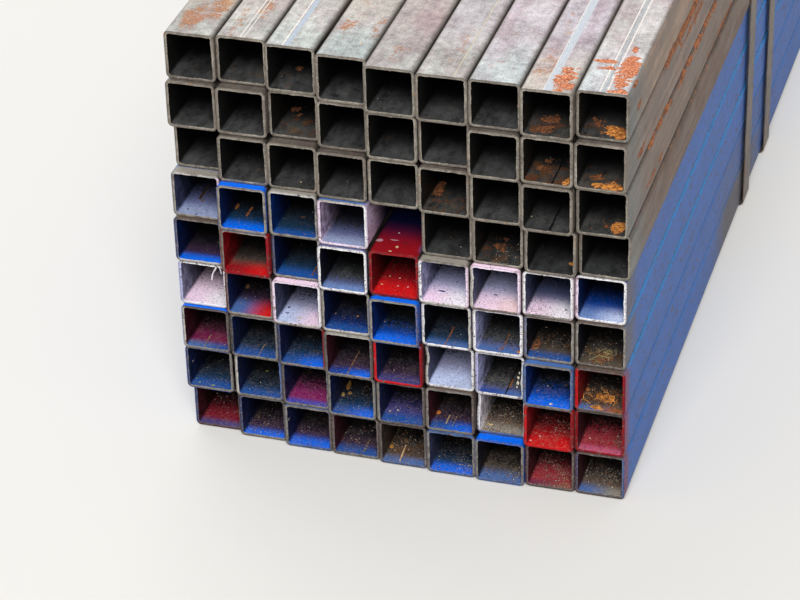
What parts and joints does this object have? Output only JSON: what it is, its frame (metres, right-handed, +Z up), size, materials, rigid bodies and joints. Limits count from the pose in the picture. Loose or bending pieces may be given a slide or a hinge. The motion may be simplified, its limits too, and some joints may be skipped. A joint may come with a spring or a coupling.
{
  "type": "strapped stack of square steel tubes",
  "caption": "Stack of square welded steel tubes in even layers with uneven ends, tied by flat steel straps; ends of the lower layers sprayed with paint.",
  "frame": {"origin": "centre of the bottom of the strapped stack, on the floor under the straps", "axes": "+Y along the tubes, from the uneven painted ends to the far ends; +X across the layers to the right as seen from those ends; +Z up"},
  "size_m": [0.4636, 6.137, 0.4595],
  "materials": {
    "tube_steel": "mill scale and thin rust, with sprayed paint on the lower layers' ends",
    "strap_steel": "lacquered, brown and dusty",
    "seal_steel": "dull"
  },
  "bodies": {
    "root": {"strap_1": "strap_steel", "strap_2": "strap_steel", "strap_3": "strap_steel", "strap_4": "strap_steel", "strap_5": "strap_steel", "strap_6": "strap_steel", "strap_seal_1": "seal_steel", "strap_seal_2": "seal_steel", "strap_seal_3": "seal_steel", "strap_seal_4": "seal_steel", "strap_seal_5": "seal_steel", "strap_seal_6": "seal_steel", "tube_layer_1": "tube_steel", "tube_layer_2": "tube_steel", "tube_layer_3": "tube_steel", "tube_layer_4": "tube_steel", "tube_layer_5": "tube_steel", "tube_layer_6": "tube_steel", "tube_layer_7": "tube_steel", "tube_layer_8": "tube_steel", "tube_layer_9": "tube_steel"}
  },
  "joints": []
}
